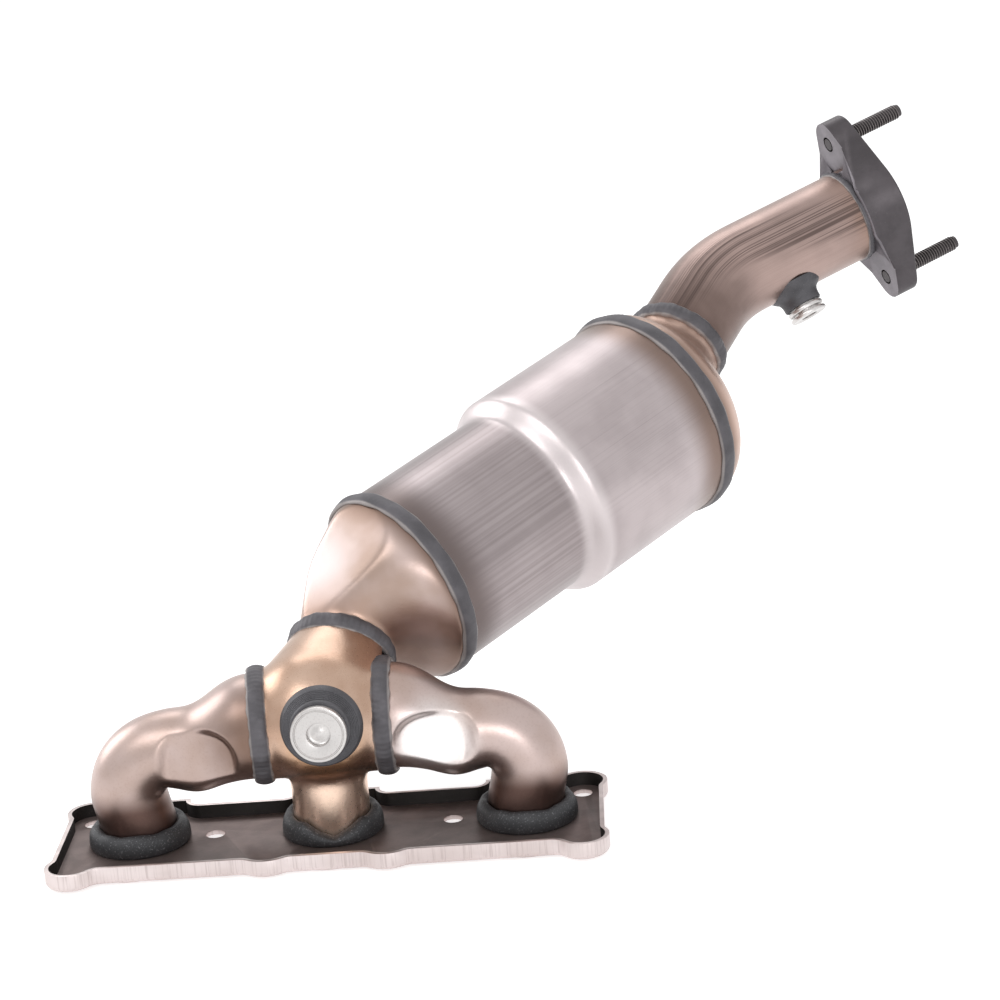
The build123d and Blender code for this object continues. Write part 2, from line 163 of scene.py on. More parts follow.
def flattenTo(obj, point, normal, soft, size=None):
    # press a flat into the skin: what stands beyond the plane is laid back on it, with a soft edge,
    # over the whole piece or inside an oval of the given half width and half height
    point, normal = Vector(point), Vector(normal).normalized()
    for v in obj.data.vertices:
        high = (v.co - point).dot(normal)
        if high > -3 * soft:
            lowered = -soft * math.log1p(math.exp(-high / soft))
            away = v.co - point
            inside = 1.0
            if size:
                spread = sum(abs(part / half) ** oval["power"] for part, half in zip(away.xz, size))
                spread **= 1 / oval["power"]
                inside = smoothStep((oval["outer"] - spread) / oval["blend"])
            v.co += normal * (lowered - high) * inside
    obj.data.update()


def profileLine(name, points):
    # a mesh of one open line of (radius, height) points, left in edit mode
    clearSelection()
    bpy.ops.mesh.primitive_plane_add(size=1)
    obj = named(name)
    bpy.ops.object.mode_set(mode="EDIT")
    bpy.ops.mesh.select_all(action="SELECT")
    bpy.ops.mesh.delete(type="VERT")
    mesh = bmesh.from_edit_mesh(obj.data)
    last = None
    for radius, height in points:
        point = mesh.verts.new((radius, 0, height))
        if last:
            mesh.edges.new((last, point))
        last = point
    bmesh.update_edit_mesh(obj.data)
    return obj


def turnedProfile(name, place, axes, profile, steps=96):
    # lathe work: a line of (radius, height) in mm is spun round the place's Z
    obj = profileLine(name, [(radius * mm, height * mm) for radius, height in profile])
    bpy.ops.mesh.select_all(action="SELECT")
    bpy.ops.mesh.spin(steps=steps, angle=2 * math.pi, center=(0, 0, 0), axis=(0, 0, 1))
    bpy.ops.mesh.select_all(action="SELECT")
    bpy.ops.mesh.remove_doubles(threshold=0.00002)
    bpy.ops.mesh.normals_make_consistent(inside=False)
    bpy.ops.object.mode_set(mode="OBJECT")
    putAt(obj, place, axes)
    smoothUnder(obj, 40)
    return obj


def copyOfNode(name, node, bevel, segments):
    # the CAD piece as a clean mesh of its own, its sharp edges rounded
    obj = cadNodes[node].copy()
    obj.data = cadNodes[node].data.copy()
    obj.name = obj.data.name = name
    obj.parent = None
    for key in list(obj.keys()):
        if key.startswith("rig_"):
            del obj[key]
    bpy.context.scene.collection.objects.link(obj)
    obj.data.materials.clear()
    onlyThis(obj)
    bpy.ops.object.mode_set(mode="EDIT")
    bpy.ops.mesh.select_all(action="SELECT")
    bpy.ops.mesh.remove_doubles(threshold=0.000005)
    bpy.ops.mesh.dissolve_limited(angle_limit=math.radians(0.4))
    bpy.ops.object.mode_set(mode="OBJECT")
    finishWith(obj, "BEVEL", width=bevel * mm, segments=segments, limit_method="ANGLE",
               angle_limit=math.radians(35))
    smoothUnder(obj, 30)
    return obj


def settle(obj, finish, node):
    # give the finish, join it to the part and hide the CAD node that it stands for
    obj.data.materials.clear()
    obj.data.materials.append(finishes[finish])
    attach(obj, "root")
    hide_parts(node)


# helpers for materials
def addNode(tree, kind, **values):
    node = tree.nodes.new(kind)
    for key, value in values.items():
        if key.startswith("in_"):
            node.inputs[int(key[3:])].default_value = value
        else:
            setattr(node, key, value)
    return node


def feed(tree, socket, value):
    # link another socket, or write a plain value
    if hasattr(value, "is_output"):
        tree.links.new(value, socket)
    else:
        socket.default_value = value


def mathNode(tree, operation, first, second):
    node = addNode(tree, "ShaderNodeMath", operation=operation)
    feed(tree, node.inputs[0], first)
    feed(tree, node.inputs[1], second)
    return node.outputs[0]


def rampBetween(tree, value, low, high):
    # 0 below low, 1 above high, smooth between
    node = addNode(tree, "ShaderNodeMapRange", interpolation_type="SMOOTHSTEP")
    for i, part in enumerate((value, low, high)):
        feed(tree, node.inputs[i], part)
    return node.outputs[0]


def mixColour(tree, mask, first, second):
    node = addNode(tree, "ShaderNodeMix", data_type="RGBA", clamp_factor=True)
    feed(tree, node.inputs[0], mask)
    for i, tone in ((6, first), (7, second)):
        feed(tree, node.inputs[i], tone if hasattr(tone, "is_output") else (*tone, 1))
    return node.outputs[2]


def newGroup(name, inputs, outputs):
    group = bpy.data.node_groups.new(name, "ShaderNodeTree")
    for label, kind, value in inputs:
        socket = group.interface.new_socket(name=label, in_out="INPUT", socket_type=kind)
        if value is not None:
            socket.default_value = value
    for label in outputs:
        group.interface.new_socket(name=label, in_out="OUTPUT", socket_type="NodeSocketFloat")
    return group, group.nodes.new("NodeGroupInput"), group.nodes.new("NodeGroupOutput")


# streaks of brushed steel: fine round the piece, long along its Z
streakGroup, start, end = newGroup(
    "steelStreaks",
    [("Local", "NodeSocketVector", None), ("Fine", "NodeSocketFloat", 900.0),
     ("Stretch", "NodeSocketFloat", 0.02)],
    ["Fine", "Broad"])
squeeze = addNode(streakGroup, "ShaderNodeCombineXYZ", in_0=1.0, in_1=1.0)
streakGroup.links.new(start.outputs[2], squeeze.inputs[2])
squeezed = addNode(streakGroup, "ShaderNodeVectorMath", operation="MULTIPLY")
streakGroup.links.new(start.outputs[0], squeezed.inputs[0])
streakGroup.links.new(squeeze.outputs[0], squeezed.inputs[1])
fineNoise = addNode(streakGroup, "ShaderNodeTexNoise", in_3=3.0, in_4=0.6)
broadNoise = addNode(streakGroup, "ShaderNodeTexNoise", in_3=2.0, in_4=0.5)
streakGroup.links.new(start.outputs[1], fineNoise.inputs[2])
streakGroup.links.new(mathNode(streakGroup, "MULTIPLY", start.outputs[1], 0.12), broadNoise.inputs[2])
for i, noise in enumerate((fineNoise, broadNoise)):
    streakGroup.links.new(squeezed.outputs[0], noise.inputs[0])
    streakGroup.links.new(noise.outputs[0], end.inputs[i])

# soft clouds of colour and a fine grain
mottleGroup, start, end = newGroup(
    "steelMottle",
    [("Place", "NodeSocketVector", None), ("Size", "NodeSocketFloat", 30.0)],
    ["Clouds", "Grain"])
cloudNoise = addNode(mottleGroup, "ShaderNodeTexNoise", in_3=3.0, in_4=0.55)
grainNoise = addNode(mottleGroup, "ShaderNodeTexNoise", in_2=1400.0, in_3=2.0, in_4=0.6)
mottleGroup.links.new(start.outputs[1], cloudNoise.inputs[2])
for i, noise in enumerate((cloudNoise, grainNoise)):
    mottleGroup.links.new(start.outputs[0], noise.inputs[0])
    mottleGroup.links.new(noise.outputs[0], end.inputs[i])

# small pale flecks on dark scale
fleckGroup, start, end = newGroup(
    "scaleFlecks",
    [("Place", "NodeSocketVector", None), ("Size", "NodeSocketFloat", 500.0),
     ("Amount", "NodeSocketFloat", 0.6)],
    ["Flecks"])
fleckNoise = addNode(fleckGroup, "ShaderNodeTexNoise", in_3=4.0, in_4=0.7)
fleckGroup.links.new(start.outputs[0], fleckNoise.inputs[0])
fleckGroup.links.new(start.outputs[1], fleckNoise.inputs[2])
upper = mathNode(fleckGroup, "ADD", start.outputs[2], 0.12)
fleckGroup.links.new(rampBetween(fleckGroup, fleckNoise.outputs[0], start.outputs[2], upper), end.inputs[0])

# nearness to a point: 1 at the point, 0 beyond the reach, its edge broken by clouds; it places heat tint and
# painted highlights
spotGroup, start, end = newGroup(
    "heatTintAndPaintedHighlightSpot",
    [("Place", "NodeSocketVector", None), ("Centre", "NodeSocketVector", None),
     ("Reach", "NodeSocketFloat", 0.02)],
    ["Near"])
gap = addNode(spotGroup, "ShaderNodeVectorMath", operation="DISTANCE")
spotGroup.links.new(start.outputs[0], gap.inputs[0])
spotGroup.links.new(start.outputs[1], gap.inputs[1])
cloud = addNode(spotGroup, "ShaderNodeTexNoise", in_2=60.0, in_3=2.0)
spotGroup.links.new(start.outputs[0], cloud.inputs[0])
wobble = mathNode(spotGroup, "MULTIPLY", mathNode(spotGroup, "SUBTRACT", cloud.outputs[0], 0.5), 0.25)
share = mathNode(spotGroup, "DIVIDE", gap.outputs["Value"], start.outputs[2])
far = rampBetween(spotGroup, mathNode(spotGroup, "ADD", share, wobble), 0.15, 1.0)
spotGroup.links.new(mathNode(spotGroup, "SUBTRACT", 1.0, far), end.inputs[0])
print("shader groups made")


def steelMaterial(name, metallic=1.0):
    material = bpy.data.materials.new(name)
    material.use_nodes = True
    tree = material.node_tree
    tree.nodes.clear()
    shader = tree.nodes.new("ShaderNodeBsdfPrincipled")
    shader.inputs["Metallic"].default_value = metallic
    output = tree.nodes.new("ShaderNodeOutputMaterial")
    tree.links.new(shader.outputs[0], output.inputs[0])
    place = tree.nodes.new("ShaderNodeTexCoord").outputs["Object"]
    return material, tree, shader, place


def useGroup(tree, group, *values):
    node = tree.nodes.new("ShaderNodeGroup")
    node.node_tree = group
    for i, value in enumerate(values):
        feed(tree, node.inputs[i], value)
    return node


def localPlace(tree, place, centre, axes):
    # object coordinates seen from a centre and axes, in metres
    node = addNode(tree, "ShaderNodeMapping", vector_type="TEXTURE")
    tree.links.new(place, node.inputs[0])
    node.inputs[1].default_value = centre
    node.inputs[2].default_value = axes.to_euler()
    return node.outputs[0]


def heightOf(tree, vector):
    split = tree.nodes.new("ShaderNodeSeparateXYZ")
    tree.links.new(vector, split.inputs[0])
    return split.outputs[2]


def pointValue(tree, name, output=2):
    # a value kept on the piece's own points: output 1 is its vector, 2 its number
    return addNode(tree, "ShaderNodeAttribute", attribute_name=name).outputs[output]


def surfaceOf(tree, shader, grain, rough, height, relief):
    # roughness varies with the grain, and the height is a faint relief
    spread = addNode(tree, "ShaderNodeMapRange", in_3=rough[0], in_4=rough[1])
    tree.links.new(grain, spread.inputs[0])
    tree.links.new(spread.outputs[0], shader.inputs["Roughness"])
    bump = addNode(tree, "ShaderNodeBump")
    bump.inputs["Strength"].default_value = relief
    bump.inputs["Distance"].default_value = 0.0004
    tree.links.new(height, bump.inputs["Height"])
    tree.links.new(bump.outputs[0], shader.inputs["Normal"])


# the part's main places, in metres
collectorCentre = Vector((0, 0, 57.5)) * mm
throatDirection = unitVector(74.5, 34.8)
throatPlace = collectorCentre + throatDirection * 39 * mm
casingDirection = unitVector(41.6, 15.75)
casingAxes = turnedTo(casingDirection)
casingStart = Vector((36.5, 63.1, 99.7)) * mm
casingEnd = casingStart + casingDirection * 174.2 * mm
pipeStart = Vector((179.7, 213.5, 173.7)) * mm
pipeDirection = unitVector(55.2, 31.0)
flangePlace = Vector((293.0, 287.8, 227.3)) * mm
leftNeckDirection = unitVector(185, 0)
rightNeckDirection = unitVector(0, 0)
neckReach = 29 * mm
leftNeck = collectorCentre + leftNeckDirection * neckReach
rightNeck = collectorCentre + rightNeckDirection * neckReach
portPlaces = {"left": -0.091, "centre": 0.0, "right": 0.091}

# finishes
made = {}


def tintedSteel(name, tones, spots=(), bands=(), streakFrame=None, streakPoint=None,
                rough=(0.30, 0.42), fine=900.0, stretch=0.02, streak=0.25):
    # brushed steel whose colour turns at spots (centre, reach, tone) of heat tint, of darker brown and of
    # painted highlight, and in bands (from, to, tone) along its frame; the streaks follow the frame or a
    # vector kept on the points
    pale, warm, dark = tones
    material, tree, shader, place = steelMaterial(name)
    local = localPlace(tree, place, *streakFrame) if streakFrame else place
    grain = pointValue(tree, streakPoint, 1) if streakPoint else local
    streaks = useGroup(tree, streakGroup, grain, fine, stretch if streakFrame or streakPoint else 1.0)
    mottle = useGroup(tree, mottleGroup, place, 28.0)
    colour = mixColour(tree, rampBetween(tree, mottle.outputs[0], 0.35, 0.65), pale, warm)
    for centre, reach, tone in spots:
        colour = mixColour(tree, useGroup(tree, spotGroup, place, centre, reach).outputs[0], colour, tone)
    for bandStart, bandEnd, tone in bands:
        colour = mixColour(tree, rampBetween(tree, heightOf(tree, local), bandStart, bandEnd), colour, tone)
    lines = mathNode(tree, "MULTIPLY", rampBetween(tree, streaks.outputs[0], 0.48, 0.72), streak)
    colour = mixColour(tree, lines, colour, dark)
    tree.links.new(colour, shader.inputs["Base Color"])
    surfaceOf(tree, shader, mottle.outputs[1], rough, streaks.outputs[0], 0.10)
    made[name] = {"tree": tree, "shader": shader, "colour": colour, "local": local,
                  "broad": streaks.outputs[1]}
    return material


def tintOver(name, mask, amount, tone):
    # lay one more tone over a finish that is already made
    parts = made[name]
    tree = parts["tree"]
    parts["colour"] = mixColour(tree, mathNode(tree, "MULTIPLY", mask, amount), parts["colour"], tone)
    tree.links.new(parts["colour"], parts["shader"].inputs["Base Color"])


def darkScale(name, dark, pale, amount=0.6, size=900.0, rough=(0.45, 0.65), metallic=0.6, relief=0.2,
              edge=None):
    # rough grey scale with pale flecks, as on the welds; the edge tone follows the bead's border
    material, tree, shader, place = steelMaterial(name, metallic)
    mottle = useGroup(tree, mottleGroup, place, 90.0)
    flecks = useGroup(tree, fleckGroup, place, size, amount)
    colour = mixColour(tree, rampBetween(tree, mottle.outputs[0], 0.3, 0.7), dark, [c * 1.35 for c in dark])
    colour = mixColour(tree, flecks.outputs[0], colour, pale)
    if edge:
        border = rampBetween(tree, pointValue(tree, "acrossBead"), 0.70, 0.92)
        colour = mixColour(tree, border, colour, edge)
    tree.links.new(colour, shader.inputs["Base Color"])
    surfaceOf(tree, shader, mottle.outputs[1], rough, flecks.outputs[0], relief)
    return material


brown = (0.13, 0.075, 0.055)
amber = (0.30, 0.165, 0.10)
steelFinishes = {
    "runnerSteel": {
        "tones": ((0.53, 0.425, 0.40), (0.46, 0.35, 0.31), (0.22, 0.14, 0.11)),
        # spots: heat tint at both necks, and a near-white painted highlight on the right runner's front flat
        "spots": [(leftNeck + Vector((0, -0.016, 0)), 0.035, (0.19, 0.12, 0.09)), (rightNeck, 0.028, amber),
                  ((0.0515, -0.0190, 0.0500), 0.025, (0.98, 0.96, 0.96))],
        "bands": [(0.034, 0.022, (0.13, 0.08, 0.068))], "streak": 0.12},
    "collectorSteel": {
        "tones": ((0.56, 0.40, 0.31), (0.45, 0.295, 0.215), (0.20, 0.11, 0.07)),
        "spots": [((0.0025, -0.034, 0.050), 0.026, (0.58, 0.36, 0.215)),
                  (throatPlace, 0.030, (0.36, 0.245, 0.185)),
                  (leftNeck, 0.024, amber), (rightNeck, 0.024, amber)],
        # bands: a light painted highlight over the leg below about 30 mm, and amber heat tint at its foot
        "bands": [(0.036, 0.028, (0.97, 0.73, 0.58)), (0.010, 0.004, amber)],
        "rough": (0.24, 0.34), "streak": 0.10},
    "coneSteel": {
        "tones": ((0.49, 0.385, 0.355), (0.38, 0.28, 0.235), (0.22, 0.14, 0.11)),
        # spots: a pale painted highlight on the pressed flats, amber heat tint at the throat, and a darker
        # brown patch low on the right
        "spots": [((-0.002, 0.043, 0.118), 0.032, (0.57, 0.495, 0.485)), (throatPlace, 0.040, amber),
                  ((0.035, 0.030, 0.062), 0.042, brown)],
        "bands": [(0.004, 0.016, (0.20, 0.13, 0.10))],
        "streakFrame": (casingStart - casingDirection * 0.018, casingAxes), "streak": 0.0},
    "casingSteel": {
        "tones": ((0.50, 0.44, 0.445), (0.43, 0.375, 0.38), (0.16, 0.13, 0.13)),
        "bands": [(0.026, 0.006, (0.10, 0.070, 0.060)), (0.149, 0.167, (0.23, 0.165, 0.14))],
        "streakFrame": (casingStart, casingAxes), "rough": (0.30, 0.40), "fine": 4000.0, "stretch": 0.0024,
        "streak": 0.22},
    "outletConeSteel": {
        "tones": ((0.60, 0.43, 0.36), (0.48, 0.33, 0.265), (0.18, 0.12, 0.09)),
        "spots": [(pipeStart, 0.030, brown)], "bands": [(0.012, 0.002, (0.22, 0.155, 0.13))],
        "streakFrame": (casingEnd, casingAxes), "streak": 0.0},
    "pipeSteel": {
        "tones": ((0.42, 0.31, 0.28), (0.35, 0.26, 0.235), (0.10, 0.065, 0.055)),
        "spots": [(pipeStart, 0.062, (0.085, 0.056, 0.047)), (flangePlace, 0.048, amber)],
        "streakPoint": "alongPipe", "fine": 210.0, "stretch": 0.008, "streak": 0.26},
    "trayOutside": {
        "tones": ((0.70, 0.62, 0.61), (0.60, 0.52, 0.505), (0.36, 0.29, 0.28)),
        "streakFrame": ((0, 0, 0), turnedTo((0, 0, 1))), "fine": 1100.0, "stretch": 0.03, "streak": 0.45},
    "plugSteel": {
        "tones": ((0.66, 0.64, 0.63), (0.56, 0.54, 0.53), (0.30, 0.28, 0.27)),
        "fine": 1500.0, "streak": 0.3},
}
scaleFinishes = {
    "trayInside": {"dark": (0.15, 0.115, 0.108), "pale": (0.21, 0.165, 0.155), "size": 300.0,
                   "rough": (0.40, 0.52), "relief": 0.05},
    "trayShade": {"dark": (0.022, 0.019, 0.018), "pale": (0.045, 0.038, 0.036), "rough": (0.55, 0.7)},
    "trayEdge": {"dark": (0.52, 0.46, 0.45), "pale": (0.66, 0.60, 0.585), "size": 500.0,
                 "rough": (0.35, 0.45), "metallic": 1.0, "relief": 0.05},
    "weldScale": {"dark": (0.095, 0.090, 0.098), "pale": (0.17, 0.165, 0.175), "size": 1400.0,
                  "edge": (0.30, 0.275, 0.27)},
    "collarScale": {"dark": (0.046, 0.046, 0.049), "pale": (0.20, 0.20, 0.21), "amount": 0.56,
                    "size": 1200.0},
    "bossScale": {"dark": (0.085, 0.083, 0.09), "pale": (0.22, 0.22, 0.235), "size": 1500.0},
    "flangeScale": {"dark": (0.068, 0.060, 0.065), "pale": (0.10, 0.090, 0.094), "rough": (0.36, 0.46),
                    "relief": 0.05},
    "flangeBack": {"dark": (0.17, 0.155, 0.17), "pale": (0.23, 0.215, 0.23), "rough": (0.40, 0.50),
                   "relief": 0.05},
    "studScale": {"dark": (0.075, 0.067, 0.070), "pale": (0.20, 0.17, 0.16)},
    "studCrest": {"dark": (0.20, 0.18, 0.175), "pale": (0.34, 0.30, 0.28), "rough": (0.30, 0.40),
                  "metallic": 1.0},
    "brickCeramic": {"dark": (0.50, 0.46, 0.38), "pale": (0.72, 0.68, 0.60), "metallic": 0.0},
    "matFibre": {"dark": (0.60, 0.58, 0.52), "pale": (0.80, 0.79, 0.74), "metallic": 0.0},
    "sealMesh": {"dark": (0.30, 0.29, 0.28), "pale": (0.55, 0.54, 0.52)},
}
finishes = {name: tintedSteel(name, **values) for name, values in steelFinishes.items()}
finishes.update({name: darkScale(name, **values) for name, values in scaleFinishes.items()})

# the narrow half of the casing is darker with heavier lines, and the shoulder band gets a painted highlight
parts = made["casingSteel"]
tree = parts["tree"]
narrow = rampBetween(tree, heightOf(tree, parts["local"]), 0.084, 0.074)
lines = mathNode(tree, "MULTIPLY", narrow, rampBetween(tree, parts["broad"], 0.36, 0.70))
rising = rampBetween(tree, heightOf(tree, parts["local"]), 0.075, 0.083)
falling = rampBetween(tree, heightOf(tree, parts["local"]), 0.096, 0.089)
tintOver("casingSteel", narrow, 0.42, (0.25, 0.215, 0.215))
tintOver("casingSteel", lines, 0.34, (0.17, 0.14, 0.14))
# painted highlight: a pale band over the shoulder
tintOver("casingSteel", mathNode(tree, "MULTIPLY", rising, falling), 0.45, (0.80, 0.74, 0.74))

# a bundle of dark lines runs along the front of the pipe
parts = made["pipeSteel"]
tree = parts["tree"]
lines = mathNode(tree, "MULTIPLY", pointValue(tree, "bundle"), rampBetween(tree, parts["broad"], 0.38, 0.60))
tintOver("pipeSteel", lines, 0.80, (0.085, 0.06, 0.055))

# the CAD pieces themselves, by what their names hold; the first word that fits counts
nodeFinish = {
    "weld": "weldScale", "collar": "collarScale", "monolith": "brickCeramic", "seal": "sealMesh",
    "mat": "matFibre", "boss": "bossScale", "plug": "plugSteel", "studs": "studScale",
    "manifold_flange": "trayOutside", "outlet_flange": "flangeScale", "runner": "runnerSteel",
    "collector": "collectorSteel", "cone": "coneSteel", "casing": "casingSteel", "pipe": "pipeSteel",
}
for node, obj in cadNodes.items():
    word = next(word for word in nodeFinish if word in node)
    obj.data.materials.clear()
    obj.data.materials.append(finishes[nodeFinish[word]])
print("finishes made")

# outer runners
runner = {"foot": 18.0, "neck": 24.5, "bend": 20.7, "bendHeight": 27.5, "lean": 3.0, "hold": 0.15, "sag": 1.4,
          "lip": 4.5, "wall": 2.0}
# pressed flats: a point, its normal, the softness and the half sizes of the oval in front
runnerFlats = {
    "left": [((-0.0570, -0.0178, 0.0455), (-0.17, -0.98, 0.10), 0.0005, (0.0170, 0.0165)),
             ((-0.0560, 0.0190, 0.0540), (-0.10, 0.99, 0.12), 0.0008)],
    "right": [((0.0520, -0.0178, 0.0495), (0.20, -0.96, 0.17), 0.0005, (0.0170, 0.0140)),
              ((0.0560, 0.0190, 0.0540), (0.10, 0.99, 0.12), 0.0008)],
}


def runnerRings(side, neckDirection):
    # the foot, the elbow, the run and the neck
    footX = portPlaces["right"]
    reach = footX + runner["lean"] * mm
    mouth = collectorCentre + neckDirection * (neckReach + runner["lip"] * mm)

    def width(point):
        share = (reach - abs(point.x)) / (reach - abs(mouth.x))
        return between(runner["foot"], runner["neck"], smoothStep((share - 0.20) / 0.80)) * mm

    rings = []
    for height in (3.2, 8, 12.5, 17, 22):
        slip = smoothStep((height - 12) / 16) * runner["lean"] * mm
        centre = Vector((side * (footX + slip), 0, height * mm))
        rings.append((centre, turnedTo((0, 0, 1)), runner["foot"] * mm))
    pivot = Vector((side * (reach - runner["bend"] * mm), 0, runner["bendHeight"] * mm))
    for angle in range(0, 91, 15):
        turn = math.radians(angle)
        centre = pivot + Vector((side * math.cos(turn), 0, math.sin(turn))) * runner["bend"] * mm
        rings.append((centre, turnedTo((-side * math.sin(turn), 0, math.cos(turn))), width(centre)))
    bendEnd = rings[-1][0]
    for i in range(1, 12):
        # upright rings keep the top and the belly free of creases
        share = i / 12
        late = smoothStep((share - runner["hold"]) / (1 - runner["hold"]))
        sag = runner["sag"] * mm * math.sin(min(1.0, share * 1.4) * math.pi) ** 2
        centre = Vector((between(bendEnd.x, mouth.x, share), between(bendEnd.y, mouth.y, late),
                         between(bendEnd.z, mouth.z, late) - sag))
        rings.append((centre, turnedTo((-side, 0, 0)), width(centre)))
    for back in (runner["lip"], 2.2, 0.3):
        rings.append((collectorCentre + neckDirection * (neckReach + back * mm), turnedTo(-neckDirection),
                      runner["neck"] * mm))
    return rings


for label, side, neckDirection in (("left", -1, leftNeckDirection), ("right", 1, rightNeckDirection)):
    tube = ringStack(label + "Runner", runnerRings(side, neckDirection), sides=48, smooth=2)
    for flat in runnerFlats[label]:
        flattenTo(tube, *flat)
    giveWall(tube, runner["wall"])
    settle(tube, "runnerSteel", label + "_runner")
print("runners made")

# collector
collectorShape = {"ball": 36.0, "underside": 0.74, "sideCut": 1.5, "leg": 18.0, "legReach": 68.0,
                  "throat": 24.0, "throatReach": 52.0, "shoulder": 34.5, "shoulderFrom": 10.0,
                  "shoulderTo": 38.0, "neck": 25.5, "neckReach": 40.0, "voxel": 1.0, "smoothing": 70,
                  "foot": 3.2, "wall": 2.0}


def solidRod(direction, radius, reach, base=0.0, baseRadius=None):
    # a capped tapered rod out of the collector's middle
    bpy.ops.mesh.primitive_cone_add(vertices=96, radius1=(baseRadius or radius) * mm, radius2=radius * mm,
                                    depth=(reach - base) * mm,
                                    location=collectorCentre + direction * (reach + base) / 2 * mm,
                                    rotation=turnedTo(direction).to_euler())
    return bpy.context.object


def cutBeyond(obj, point, direction, fill=False):
    # take away what lies beyond the plane
    onlyThis(obj)
    bpy.ops.object.mode_set(mode="EDIT")
    bpy.ops.mesh.select_all(action="SELECT")
    bpy.ops.mesh.bisect(plane_co=point, plane_no=direction, clear_outer=True, use_fill=fill)
    bpy.ops.object.mode_set(mode="OBJECT")


clearSelection()
bpy.ops.mesh.primitive_uv_sphere_add(segments=128, ring_count=64, radius=collectorShape["ball"] * mm,
                                     location=collectorCentre)
collector = named("collector")
bpy.ops.object.transform_apply(location=True, rotation=True, scale=True)
for v in collector.data.vertices:
    # the underside is shallower than the top and ends level with the necks
    v.co.z -= min(0.0, v.co.z - collectorCentre.z) * (1 - collectorShape["underside"])
downwards = Vector((0, 0, -1))
for direction in (leftNeckDirection, rightNeckDirection):
    sideCut = collectorCentre + direction * (neckReach - collectorShape["sideCut"] * mm)
    cutBeyond(collector, sideCut, direction, fill=True)
rods = [
    solidRod(downwards, collectorShape["leg"], collectorShape["legReach"]),
    solidRod(throatDirection, collectorShape["throat"], collectorShape["throatReach"]),
    solidRod(throatDirection, collectorShape["throat"], collectorShape["shoulderTo"],
             collectorShape["shoulderFrom"], collectorShape["shoulder"]),
    solidRod(leftNeckDirection, collectorShape["neck"], collectorShape["neckReach"]),
    solidRod(rightNeckDirection, collectorShape["neck"], collectorShape["neckReach"]),
]
onlyThis(collector)
for rod in rods:
    rod.select_set(True)
bpy.ops.object.join()
finishWith(collector, "REMESH", mode="VOXEL", voxel_size=collectorShape["voxel"] * mm)
finishWith(collector, "SMOOTH", factor=0.5, iterations=collectorShape["smoothing"])
for point, direction in (((0, 0, collectorShape["foot"] * mm), downwards), (throatPlace, throatDirection),
                         (leftNeck, leftNeckDirection), (rightNeck, rightNeckDirection)):
    cutBeyond(collector, point, direction)
giveWall(collector, collectorShape["wall"], 50)
settle(collector, "collectorSteel", "collector")
print("collector made")

# cones
cones = {"throat": 24.0, "inlet": 47.5, "outlet": 54.0, "pipe": 24.5, "rings": 12, "lip": 4.5, "gap": 0.2,
         "wall": 1.8}
# the inlet cone is pressed in at its upper left
inletFlats = [
    ((-0.0088, 0.0537, 0.1036), (-0.973, -0.044, 0.227), 0.0012),
    ((0.0007, 0.0626, 0.1259), (-0.854, 0.059, 0.517), 0.0012),
    ((0.0085, 0.0366, 0.1190), (-0.51, -0.548, 0.663), 0.0007),
]


def curvedMiddle(startPoint, startWay, endPoint, endWay, share):
    # smooth line that leaves and meets both ends squarely
    span = (endPoint - startPoint).length
    stay, go = 1 - share, share
    centre = (startPoint * (stay ** 3 + 3 * stay ** 2 * go) + endPoint * (go ** 3 + 3 * go ** 2 * stay)
              + startWay * (stay ** 2 * go * span) - endWay * (go ** 2 * stay * span))
    return centre, startWay.lerp(endWay, share)


def coneRings(startPoint, startWay, startRadius, endPoint, endWay, endRadius, growth):
    # a short lip at each end and a smooth change of radius between
    lip, gap = cones["lip"] * mm, cones["gap"] * mm
    rings = [(startPoint + startWay * gap, turnedTo(startWay), startRadius * mm)]
    for i in range(cones["rings"] + 1):
        share = i / cones["rings"]
        centre, way = curvedMiddle(startPoint + startWay * lip, startWay,
                                   endPoint - endWay * lip, endWay, share)
        rings.append((centre, turnedTo(way), between(startRadius, endRadius, growth(share)) * mm))
    return rings + [(endPoint - endWay * gap, turnedTo(endWay), endRadius * mm)]


inletCone = ringStack("inletCone", coneRings(
    throatPlace, throatDirection, cones["throat"], casingStart, casingDirection, cones["inlet"],
    lambda share: math.sin(share * math.pi / 2)), smooth=2)
for flat in inletFlats:
    flattenTo(inletCone, *flat)
outletCone = ringStack("outletCone", coneRings(
    casingEnd, casingDirection, cones["outlet"], pipeStart, pipeDirection, cones["pipe"],
    smoothStep), smooth=2)
for cone, finish, node in ((inletCone, "coneSteel", "inlet_cone"),
                           (outletCone, "outletConeSteel", "outlet_cone")):
    giveWall(cone, cones["wall"])
    settle(cone, finish, node)
print("cones made")

# casing
casing = {"small": 47.5, "large": 54.0, "shoulderFrom": 79.0, "shoulderTo": 90.0, "wall": 1.5}
stations = [(along, casing["small"]) for along in (0.1, 2, 30, 60, 76)]
stations += [(between(casing["shoulderFrom"], casing["shoulderTo"], i / 12),
              between(casing["small"], casing["large"], smoothStep(i / 12))) for i in range(13)]
stations += [(along, casing["large"]) for along in (93, 110, 140, 172, 174.1)]
casingShell = ringStack("converterCasing", [
    (casingStart + casingDirection * along * mm, casingAxes, radius * mm) for along, radius in stations],
    sides=160, smooth=0)
giveWall(casingShell, casing["wall"])
settle(casingShell, "casingSteel", "converter_casing")
print("casing made")

# outlet pipe
pipe = {"radius": 24.5, "wall": 2.0, "firstRun": 28.9, "bend": 65.0, "angle": 31.5, "roll": -110.4,
        "lastRun": 85.0, "inset": 6.0, "stations": 30}
lineBundle = {"angle": 165.0, "twist": 0.42, "from": 76.0, "half": 22.0}
bendAxis = acrossOf(pipeDirection, pipe["roll"])
inward = bendAxis.cross(pipeDirection)
bendLength = math.radians(pipe["angle"]) * pipe["bend"]
pipeLength = pipe["firstRun"] + bendLength + pipe["lastRun"]


